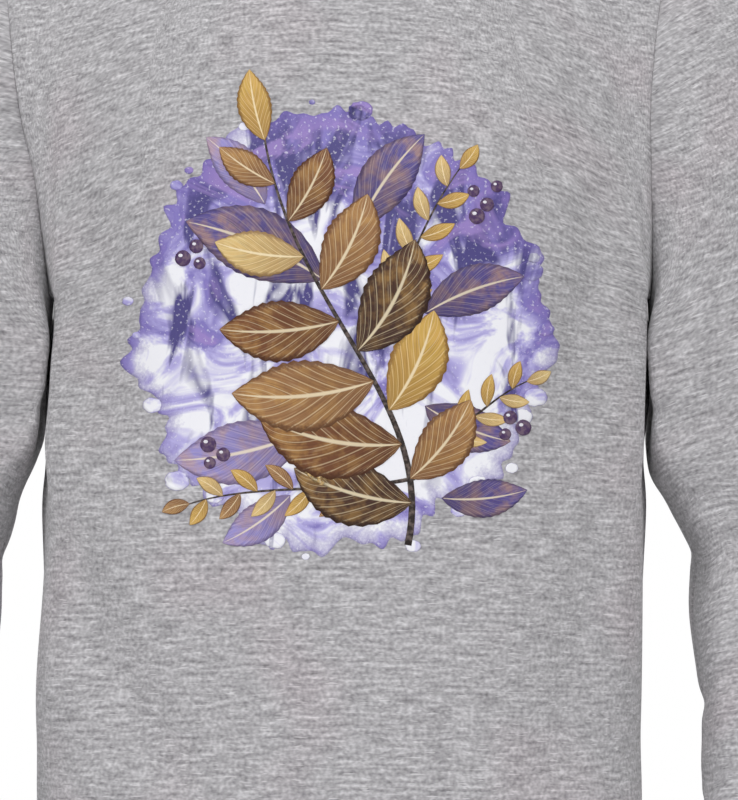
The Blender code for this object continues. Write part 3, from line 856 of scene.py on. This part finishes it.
small_leaves = []
for path, count, size, tints in (
        (UPPER_SPRIG, 9, 0.026, (GOLD, HONEY)), (LOWER_SPRIG, 7, 0.023, (HONEY, GOLD)),
        (LEFT_SPRIG, 11, 0.025, (GOLD, TAN, HONEY))):
    for index, share in enumerate(np.linspace(0.22, 0.985, count)):
        at, growing = stem_place(path, share)
        hand = 1 if index % 2 else -1
        turn = hand * 0.75 if index < count - 1 else 0.0
        small_leaves.append(leaf(
            at, growing + turn, size * (1.1 - 0.4 * share), size * 0.36, -0.4 * hand,
            SPRIG_LIES + 0.00002 * (index % 3), tints[index % len(tints)], rows=18, columns=8))

# Violet leaves lie under the others as their shadows would.
shade_leaves = []
for index, (x, z, turn, length, width) in enumerate((
        (-0.020, -0.060, 3.35, 0.082, 0.036), (-0.010, 0.030, 2.75, 0.090, 0.040),
        (0.050, 0.010, 0.35, 0.064, 0.028), (-0.045, 0.075, 2.30, 0.054, 0.024),
        (0.010, 0.060, 0.95, 0.070, 0.030), (0.060, -0.100, 0.10, 0.052, 0.022),
        (-0.030, -0.098, 3.75, 0.050, 0.022), (0.050, -0.045, 5.90, 0.056, 0.026))):
    shade_leaves.append(leaf(
        (x, z), turn, length, width, 0.4 if index % 2 else -0.4, SHADE_LIES + 0.00001 * index,
        VIOLET if index % 3 else LAVENDER, teeth=0.08, rows=24, columns=10))

berries = []
for index, (x, z) in enumerate((
        (0.079, 0.083), (0.087, 0.075), (0.081, 0.068), (0.093, 0.086), (-0.070, -0.074), (-0.079, -0.068),
        (-0.078, -0.079), (0.101, -0.052), (0.109, -0.058), (0.098, -0.062), (-0.086, 0.050), (-0.094, 0.043),
        (-0.084, 0.040))):
    size = 0.0036 + 0.0006 * (index % 3)
    glint = x - size * 0.3, z + size * 0.35, size * 0.28, size * 0.22
    berries.append(disc(x, z, size, size, BERRY_LIES, PLUM, 90 + index, spokes=20, rough=0.02))
    berries.append(disc(*glint, GLINT_LIES, SNOW, 120 + index, rings=3, spokes=12))

print_pieces = [
    print_film("print_wash", wash, wash_ink()),
    print_film("print_shade_leaves", shade_leaves, leaf_ink("shade_leaf_ink", 0.25, 0.5)),
    print_film("print_stems_and_berries", strokes + berries, stroke_ink()),
    print_film("print_leaves", small_leaves + leaves, leaf_ink("autumn_leaf_ink", 0.75, 0.9)),
]


# ---- Sleeves ---------------------------------------------------------------------------------------------
# Each sleeve is one piece of the same fleece, sewn into the armhole and closed by a seam under the arm. It
# lies against the body down to the elbow, bends away there, and stacks in low folds above the cuff.
BICEPS_Z = 0.375
CUFF_SEAM_Z = 0.080
SLEEVE_CAP_ROWS = 84
SLEEVE_ARM_ROWS = 128
SLEEVE_COLUMNS = 184
CORNER_LEAN = 0.031  # of the sleeve's inner front corner, over to the body
UNDERARM_DRAW = 0.0055  # of the seam under the arm, back from the body
SLEEVE_GATHER = 0.0018  # height of the gathers over the cuff
SLEEVE_UNEVENNESS = 0.0012
SLEEVE_GROOVE = 0.0012  # depth of the groove at the seam under the arm
CAP_ROLL = 0.0011  # height of the roll beside the armhole seam
TOP_FLATTER = 0.0004  # how much lower the roll is over the shoulder

# Heights with the sleeve's inner and outer edge, its half depth, and its middle in depth.
SLEEVE = np.array([
    (0.375, 0.1880, 0.3060, 0.0640, 0.0120),
    (0.340, 0.1884, 0.3124, 0.0616, 0.0136),
    (0.310, 0.1917, 0.3172, 0.0594, 0.0146),
    (0.285, 0.2012, 0.3204, 0.0577, 0.0148),
    (0.255, 0.2114, 0.3230, 0.0560, 0.0130),
    (0.215, 0.2145, 0.3235, 0.0540, 0.0090),
    (0.150, 0.2205, 0.3190, 0.0505, 0.0000),
    (0.100, 0.2225, 0.3120, 0.0460, -0.0090),
    (0.080, 0.2290, 0.3010, 0.0380, -0.0120),
])

# The sleeves' own uneven hang, in the body's way, which it joins at the underarm.
SLEEVE_SWAY = np.concatenate([np.array([
    (0.000, 0.0000, 0.0000),
    (0.165, 0.0015, 0.0028),
    (0.227, 0.0033, 0.0024),
    (0.265, 0.0034, 0.0037),
    (0.289, 0.0004, 0.0002),
    (0.301, -0.0008, -0.0014),
    (0.314, 0.0006, -0.0003),
    (0.326, 0.0030, 0.0007),
    (0.348, 0.0070, 0.0004),
    (0.375, 0.0078, 0.0014),
]), BODY_SWAY[BODY_SWAY[:, 0] > 0.40]])

# Folds of a sleeve on its rolled-out cloth: where the fold is deepest (share of a turn from the outer edge
# towards the front, and height), its slant, its reach round the arm, its width, and its height.
SLEEVE_FOLDS = (
    (0.25, 0.290, -0.05, 0.17, 0.0750, -0.0085),
    (0.30, 0.255, -0.10, 0.20, 0.0280, -0.0045),
    (0.36, 0.345, 0.30, 0.13, 0.0085, -0.0030),
    (0.33, 0.318, 0.16, 0.15, 0.0090, 0.0022),
    (0.38, 0.292, 0.05, 0.13, 0.0080, -0.0028),
    (0.30, 0.262, -0.25, 0.14, 0.0090, -0.0020),
    (0.68, 0.345, -0.34, 0.14, 0.0085, -0.0040),
    (0.72, 0.318, -0.16, 0.15, 0.0090, 0.0026),
    (0.70, 0.292, 0.06, 0.14, 0.0080, -0.0040),
    (0.66, 0.262, 0.26, 0.13, 0.0080, -0.0030),
    (0.95, 0.300, 0.30, 0.13, 0.0095, -0.0030),
    (0.06, 0.262, -0.22, 0.14, 0.0090, -0.0030),
    (0.16, 0.455, 0.55, 0.11, 0.0110, -0.0034),
    (0.84, 0.440, -0.55, 0.11, 0.0110, -0.0034),
    (0.03, 0.395, 0.10, 0.12, 0.0120, -0.0022),
    (0.92, 0.205, 0.20, 0.17, 0.0085, -0.0032),
    (0.10, 0.172, 0.14, 0.20, 0.0080, -0.0036),
    (0.60, 0.160, -0.18, 0.16, 0.0075, -0.0030),
    (0.90, 0.140, 0.16, 0.20, 0.0072, -0.0040),
    (0.28, 0.128, -0.14, 0.20, 0.0066, -0.0036),
    (0.72, 0.112, 0.12, 0.20, 0.0060, -0.0034),
    (0.10, 0.106, 0.06, 0.22, 0.0056, -0.0036),
)


def sleeve_ring(angle, z):
    """The sleeve's section at a height: an oval, 0 on its outer edge and a quarter turn at its front. Its
    inner side is squared up where it presses on the body: (|cos|^n + |sin|^n)^(-1/n) times the oval, with n
    above 2. Its front corner leans over to the body there, and the seam under the arm is drawn back."""
    inner, outer, half_depth, middle = np.moveaxis(along(SLEEVE, z), -1, 0)
    cosine, sine = np.cos(angle), np.sin(angle)
    pressed = smooth_step((z - 0.29) / 0.05)
    inside = smooth_step(-1.5 * cosine)
    power = 2 + (1.8 + 3.7 * pressed) * inside
    swell = (np.abs(cosine) ** power + np.abs(sine) ** power) ** (-1 / power)
    lean = CORNER_LEAN * np.clip(sine, 0, 1) ** 4 - UNDERARM_DRAW * cosine**4 * bell(z - 0.350, 0.026)
    x = (inner + outer) / 2 + (outer - inner) / 2 * cosine * swell - lean * pressed * inside
    return vectors(x, middle - half_depth * sine * swell, z)


def sleeve(cap_rows, arm_rows, angles):
    """The left sleeve from the armhole down. Its cap is a Bezier curve for each angle, which leaves the
    shoulder outwards and the underarm straight down, and joins the biceps ring upright."""
    cap, turn = np.meshgrid(cap_rows, angles, indexing="ij")
    top = (1 + np.cos(turn)) / 2
    away = vectors(0.05 + 0.85 * top + 0.14 * np.sin(turn) ** 2, -0.35 * np.sin(turn), -1 + 0.57 * top)
    start, end = armhole(turn), sleeve_ring(turn, np.full_like(turn, BICEPS_Z))
    chord = np.linalg.norm(end - start, axis=-1, keepdims=True)
    arrive = np.array([0.12, 0, -1])
    shaped = bezier(
        start, start + unit(away) * chord * 0.36, end - arrive * chord * 0.42, end, cap[..., None])
    low, turn = np.meshgrid(arm_rows, angles, indexing="ij")
    return np.concatenate([shaped, sleeve_ring(turn, BICEPS_Z + (CUFF_SEAM_Z - BICEPS_Z) * low)[1:]])


def round_the_arm(turn, z, folds, seed):
    """Folds that wrap part of the way round a sleeve, each a bell across a slanted line that fades out to
    both sides, with the line made a little uneven."""
    total = np.zeros_like(z)
    bent = 0.004 * wander(turn * 2, z / 0.10, seed)
    for place, height, slant, reach, width, size in folds:
        away = (turn - place + 0.5) % 1 - 0.5
        line = height + slant * away * 0.35 + bent
        total += size * bell(away, reach) * bell(z - line, width)
    return total


cap_rows = 1 - eased(SLEEVE_CAP_ROWS)[::-1]
arm_rows = np.linspace(0, 1, SLEEVE_ARM_ROWS + 1)
sleeve_angles = 2 * np.pi * np.linspace(0, 1, SLEEVE_COLUMNS + 1)[:-1]


def sew_sleeve(seed, tilt):
    """The left sleeve's points with its relief, and its cloth coordinates, whose courses rise outwards by
    tilt where they lie square to a slanting arm."""
    base = sleeve(cap_rows, arm_rows, sleeve_angles)
    out = normals_of(base, closed=True)
    down = distance_along(base, 0)
    around = distance_along(base, 1, closed=True)
    turn = np.broadcast_to(sleeve_angles / (2 * np.pi), base.shape[:2])
    z = base[..., 2]
    to_cuff = down[-1:] - down
    seams = np.minimum(down, to_cuff)
    inner = bell(turn - 0.5, 0.11) * smooth_step((z - 0.26) / 0.05)
    under_seam = bell((turn - 0.5) * around[:, -1:], 0.0030)
    calm = 1 - 0.95 * inner
    uneven = SLEEVE_UNEVENNESS * wander(turn * 3, z / 0.13, seed) * (1 - np.exp(-seams / 0.02))
    gathers = SLEEVE_GATHER * np.exp(-to_cuff / 0.014) * (1 - np.exp(-to_cuff / 0.004))
    gathers = gathers * wander(around[:, :-1] / 0.016, z / 0.2, seed + 1)
    cap_roll = (CAP_ROLL - TOP_FLATTER * smooth_step((z - 0.43) / 0.08)) * calm * bell(down, 0.040)
    relief = (
        seam_roll(down, 1.0, 0.0034) * cap_roll
        + seam_roll(to_cuff) * bell(to_cuff, 0.030)
        - SLEEVE_GROOVE * under_seam * (1 - inner)
        + calm * (uneven + gathers + round_the_arm(turn, z, SLEEVE_FOLDS, seed + 2))
        + puckers(down, turn * 0.56, seed + 4, height=0.0008) * calm
        + puckers(to_cuff, around[:, :-1], seed + 6, height=0.0005, pitch=0.008)
    )
    points = base + out * (relief * (1 - np.exp(-seams / SEAM_EDGE)))[..., None]
    tilted = tilt * smooth_step((z - 0.02) / 0.30)
    v = -down + down[[SLEEVE_CAP_ROWS]] - tilted * (base[..., 0] - 0.26)
    v = np.concatenate([v, v[:, :1]], axis=1)
    return points, np.stack([around, v], -1)


MIRROR = np.array([-1, 1, 1])
sleeves, sleeve_sides = [], []
for side, seed, tilt in (("left", 41, 0.36), ("right", 67, 0.05)):
    sleeve_points, sleeve_cloth = sew_sleeve(seed, tilt)
    if side == "right":
        sleeve_points = (sleeve_points * MIRROR)[::-1]
        sleeve_cloth = sleeve_cloth[::-1] * np.array([-1, 1])
    sleeve_points = swayed(sleeve_points, SLEEVE_SWAY)
    in_order = sleeve_points if side == "left" else sleeve_points[::-1]
    sleeve_sides.append((in_order, normals_of(in_order, closed=True) * (1 if side == "left" else -1)))
    piece = grid_object(f"{side}_sleeve_fleece", sleeve_points, sleeve_cloth + 2.0, closed=True)
    finish_fleece(piece, f"sleeve_{side}")
    sleeves.append(piece)


# ---- Waistband, cuffs and collar -------------------------------------------------------------------------
# All three are bands of rib knit, folded double with the fold on the free edge, and sewn on slightly
# stretched, so that they draw the fleece in. The ribs run square to the fold.
RIB = 0.0042
RIB_HEIGHT = 0.00070
CUFF_END_Z = 0.018
CUFF_RADIUS = 0.0345
COLLAR_WIDTH = 0.0230
COLLAR_HOLLOW = 0.0012  # between its seam and its fold
WAIST_TUCK = 0.0045  # how far the waistband's fold stands inside its seam
WAIST_BOW = 0.0020


def whole_loop(front_line, back_line):
    """Joins a row of the front and one of the back, both in +X, into a loop without the shared ends."""
    return np.concatenate([front_line[:-1], back_line[:0:-1]])


def even_loop(loop, count):
    """Points at even steps round a closed loop, with whatever else its rows carry, and its length."""
    closed = np.concatenate([loop, loop[:1]])
    reach = distance_along(closed[:, :3], 0)
    at = np.linspace(0, reach[-1], count + 1)[:-1]
    return np.stack([np.interp(at, reach, closed[:, k]) for k in range(closed.shape[1])], -1), reach[-1]


def rib_band(name, surface, ribs, per_rib, rows, length, sway=BODY_SWAY):
    """A double band of rib as one closed tube: surface(r) gives the band's outer side for r from 0 at the
    seam to 1 at the fold, with its way out. The section is a flat loop round both layers with a half circle
    at each end, and the ribs stand out from it by |cos|^0.7, worn flatter on the fold."""
    half = RIB / 2
    bend = np.linspace(0, np.pi, 9)[1:-1]
    inset = half / length
    straight = np.linspace(inset, 1 - inset, rows)
    fold = inset * np.sin(bend)
    share = np.concatenate([straight, 1 - inset + fold, straight[::-1], inset - fold])
    deep = np.concatenate([
        0 * straight, half - half * np.cos(bend), 0 * straight + RIB, half + half * np.cos(bend)])
    outer, out = surface(share)
    points = outer - out * deep[:, None, None]
    face = unit(np.cross(
        np.roll(points, -1, 1) - np.roll(points, 1, 1), np.roll(points, -1, 0) - np.roll(points, 1, 0)))
    face *= np.sign((face[rows // 2] * out[rows // 2]).sum())
    columns = ribs * per_rib
    wave = np.abs(np.cos(np.pi * ribs * np.arange(columns) / columns))
    flat = 1 - 0.45 * bell(share - 1, 0.06) - 0.7 * bell(share, 0.07)
    ridges = RIB_HEIGHT * (wave**0.7 - 0.5) * flat[:, None]
    points = points + face * ridges[..., None]
    down = np.arange(len(share) + 1) * 2 * length / len(share)
    uv = np.stack(np.meshgrid(np.arange(columns + 1) / per_rib * RIB_PITCH, down), -1)
    return grid_object(name, swayed(points, sway), uv, closed=True, closed_rows=True)


def finish_band(piece, node):
    """Gives a band its knit and puts it in its node's place, sewn on stretched."""
    piece.data.materials.append(rib_knit)
    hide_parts(node)
    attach(piece, "root")


rib_knit = heather("heather_grey_rib", streak=0.2, climb=2.5, ribbed=True)

waist_seam, waist_length = even_loop(
    whole_loop(*(panel(np.zeros(1), panel_columns, face)[0] for face in (-1, 1))), 4000)
WAIST_RIBS = int(waist_length / RIB_PITCH)


def waistband_side(r):
    """The waistband hangs from its seam, bows out by a half sine, and stands slightly inside it."""
    seam, _ = even_loop(waist_seam, WAIST_RIBS * 7)
    outwards = unit(seam * np.array([1, 2.5, 0]))
    rows = 1 - r[:, None, None]
    band = seam + outwards * (-WAIST_TUCK + WAIST_TUCK * rows + WAIST_BOW * np.sin(np.pi * rows))
    on_floor = 0.28 * RIB_HEIGHT
    band[..., 2] = on_floor + (WAIST_SEAM_Z - on_floor) * rows[..., 0]
    return band, np.broadcast_to(outwards, band.shape)


waistband = rib_band("waistband_rib", waistband_side, WAIST_RIBS, 7, 15, WAIST_SEAM_Z)
finish_band(waistband, "waistband")

CUFF_RIBS = 60
CUFF_COLUMNS = CUFF_RIBS * 9


def cuff_side(r):
    """The cuff goes from the sleeve's end to a round tube by a smooth step over a third of its length, and
    then runs nearly straight."""
    turn = 2 * np.pi * np.arange(CUFF_COLUMNS) / CUFF_COLUMNS
    row, turn = np.meshgrid(r, turn, indexing="ij")
    seam = sleeve_ring(turn, np.full_like(turn, CUFF_SEAM_Z))
    middle = sleeve_ring(np.array([0, np.pi]), np.full(2, CUFF_SEAM_Z)).mean(axis=0)
    radius = CUFF_RADIUS * (1 - 0.03 * row)
    straight = middle + vectors(radius * np.cos(turn), -radius * np.sin(turn), 0)
    band = seam + (straight - seam) * smooth_step(row * 3)[..., None]
    band[..., 2] = CUFF_SEAM_Z + (CUFF_END_Z - CUFF_SEAM_Z) * row
    return band, unit((band - middle) * np.array([1, 1, 0]))


def mirrored(surface):
    """The same band surface on the other side of the body, still turning the same way."""
    def flipped(r):
        band, out = surface(r)
        return (band * MIRROR)[:, ::-1], (out * MIRROR)[:, ::-1]
    return flipped


for side, surface in (("left", cuff_side), ("right", mirrored(cuff_side))):
    cuff = rib_band(f"{side}_cuff_rib", surface, CUFF_RIBS, 9, 17, CUFF_SEAM_Z - CUFF_END_Z, SLEEVE_SWAY)
    finish_band(cuff, f"cuff_{side}")

neck_columns = NECK_SHARE * np.sin(np.linspace(-np.pi / 2, np.pi / 2, 401))


def neck_out(columns, face):
    """The thickness direction of both edges sewn at the neckline, between the panel's way out and the
    collar's."""
    turn = columns / NECK_SHARE * np.pi / 2
    return unit(vectors(np.sin(turn), face * np.cos(turn), 0.45 + 0.5 * np.sin(turn) ** 2))


neck_line = whole_loop(*(panel(np.ones(1), neck_columns, face)[0] for face in (-1, 1)))
neck_ways = whole_loop(*(neck_out(neck_columns, face) for face in (-1, 1)))
_, neck_length = even_loop(neck_line, 10)
NECK_RIBS = int(neck_length / RIB_PITCH)


def collar_side(r):
    """The collar carries the neckline up and in by its width, hollowed by a half sine between seam and
    fold."""
    both, _ = even_loop(np.concatenate([neck_line, neck_ways], axis=1), NECK_RIBS * 8)
    seam, out = both[:, :3], unit(both[:, 3:])
    flat_out = unit(out * np.array([1, 1, 0]))
    front = np.clip(-flat_out[:, 1:2], 0, 1)
    rib = unit(np.array([0, 0, 1.0]) - (0.48 + 0.42 * front**2) * flat_out)
    across = unit(np.cross(np.roll(seam, -1, 0) - np.roll(seam, 1, 0), rib))
    across *= np.sign((across * flat_out).sum(axis=1, keepdims=True))
    row = r[:, None, None]
    band = seam + rib * COLLAR_WIDTH * row - flat_out * COLLAR_HOLLOW * np.sin(np.pi * np.clip(row, 0, 1))
    turned = smooth_step(row * 4)
    return band, unit(out * (1 - turned) + across * turned)


collar = rib_band("collar_rib", collar_side, NECK_RIBS, 8, 12, COLLAR_WIDTH)
finish_band(collar, "collar")


# ---- Stitching -------------------------------------------------------------------------------------------
# A twin needle runs round the fleece beside the waistband, both cuffs and the collar, and sews the seam
# allowance down. Its thread shows as two rows of short straight stitches.
STITCH_PITCH = 0.0030
STITCH_LENGTH = 0.0027
THREAD_RADIUS = 0.00032
NEEDLES = (0.0024, 0.0080)  # from the seam


def beside(points, out, distance, from_top=False):
    """Where each column of a grid of points has run a distance from its first row, or from its last, and the
    way out there."""
    if from_top:
        points, out = points[::-1], out[::-1]
    run = distance_along(points, 0)
    both = np.concatenate([points, out], axis=-1)
    return np.array([
        [np.interp(distance, run[:, j], both[:, j, k]) for k in range(6)] for j in range(points.shape[1])])


def stitched(loop):
    """The stitches round one closed line of points with their ways out: six-sided capsules along it, bowed
    by a parabola so that both ends sink into the cloth."""
    count = int(even_loop(loop[:, :3], 10)[1] / STITCH_PITCH)
    at, _ = even_loop(loop, count)
    ahead = unit(np.roll(at[:, :3], -1, 0) - np.roll(at[:, :3], 1, 0))
    out = unit(at[:, 3:] - ahead * (at[:, 3:] * ahead).sum(axis=1, keepdims=True))
    aside = np.cross(out, ahead)
    rings, spokes = np.array([-0.5, -0.38, 0.0, 0.38, 0.5]), 2 * np.pi * np.arange(6) / 6
    run, turn = np.meshgrid(rings, spokes, indexing="ij")
    girth = THREAD_RADIUS * np.where(np.abs(run) > 0.45, 0.35, 1.0)
    lift_off = THREAD_RADIUS * (0.55 - 5.6 * run**2) + girth * np.cos(turn)
    return (
        at[:, None, None, :3] + ahead[:, None, None] * (run * STITCH_LENGTH)[..., None]
        + out[:, None, None] * lift_off[..., None] + aside[:, None, None] * (girth * np.sin(turn))[..., None])


thread = Nodes("grey_thread").finish(Base_Color=(0.60, 0.59, 0.605, 1), Roughness=0.6, Specular_IOR_Level=0.2)
in_neck = np.abs(panel_columns) < NECK_SHARE


def stitching(name, lines):
    """One object from the stitches of several lines, each a tube of rings with flat ends."""
    stitches = np.concatenate([stitched(line) for line in lines])
    count, rings, spokes = stitches.shape[:3]
    first = (np.arange(count) * rings * spokes)[:, None, None]
    ring, spoke = np.meshgrid(np.arange(rings - 1), np.arange(spokes), indexing="ij")
    near, far = first + ring * spokes, first + (ring + 1) * spokes
    beyond = (spoke + 1) % spokes
    walls = np.stack([near + spoke, far + spoke, far + beyond, near + beyond], -1).reshape(-1, 4)
    first, round_end = first[:, 0], np.arange(spokes)
    ends = np.concatenate([first + round_end, first + rings * spokes - 1 - round_end])
    mesh = bpy.data.meshes.new(name)
    mesh.from_pydata(stitches.reshape(-1, 3), [], walls.tolist() + ends.tolist())
    mesh.shade_smooth()
    mesh.materials.append(thread)
    sewn = add_object(name, mesh)
    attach(sewn, "root")
    return sewn


body_lines = []
for needle in NEEDLES:
    for columns, from_top in ((slice(None), False), (in_neck, True)):
        body_lines.append(whole_loop(*(
            beside(points[:, columns], out[:, columns], needle, from_top)
            for points, out in ((front_points, front_out), (back_points, back_out)))))
body_stitching = stitching("body_stitching", body_lines)
for piece, (points, out) in zip(sleeves, sleeve_sides):
    cuff_lines = [beside(points, out, needle, from_top=True) for needle in NEEDLES]
    cuff_stitching = stitching(piece.name.replace("fleece", "stitching"), cuff_lines)


# ---- Inside of the neck ----------------------------------------------------------------------------------
# A twill tape covers the back neck seam from shoulder to shoulder, and a blank satin label hangs from under
# it.
TAPE_WIDTH = 0.011
TAPE = 0.0007
LABEL_HALF_WIDTH = 0.021
LABEL_LENGTH = 0.026
LABEL = 0.0004


def inside_back(name, columns, near, far, depth, thickness, material):
    """A strip that lies on the inside of the back panel, a depth below its outside, between two distances
    from its neckline."""
    rows = np.linspace(near, far, 8)
    lines = np.array([beside(back_points[:, columns], back_out[:, columns], d, from_top=True) for d in rows])
    placed = lines[..., :3] - unit(lines[..., 3:]) * depth
    across = distance_along(placed[0], 0)
    strip = grid_object(name, placed, np.stack(np.meshgrid(across, rows), -1))
    strip.data.materials.append(material)
    thicken(strip, thickness, offset=0)
    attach(strip, "root")
    return strip


def twill(name, light, dark):
    """Woven tape: fine slanting lines, a wave across the turned cloth coordinates."""
    n = Nodes(name)
    slant = n.add("Mapping", {"Vector": n.map_of("cloth"), "Rotation": (0, 0, 0.8)}).outputs[0]
    lines = n.add("TexWave", {"Vector": slant, "Scale": 160.0, "Distortion": 0.0}).outputs["Fac"]
    return n.finish(
        Base_Color=n.mix(lines, light, dark), Normal=n.bump(lines, 0.4, 0.0003), Roughness=0.8,
        Specular_IOR_Level=0.2)


tape = inside_back(
    "back_neck_tape", in_neck, 0.0008, TAPE_WIDTH, CLOTH + TAPE, TAPE,
    twill("twill_tape", (0.42, 0.41, 0.43, 1), (0.30, 0.295, 0.31, 1)))
label = inside_back(
    "blank_neck_label", np.abs(back_points[-1, :, 0]) < LABEL_HALF_WIDTH, TAPE_WIDTH - 0.003,
    TAPE_WIDTH + LABEL_LENGTH, CLOTH + 2 * TAPE + LABEL, LABEL,
    twill("label_satin", (0.80, 0.80, 0.80, 1), (0.74, 0.74, 0.745, 1)))
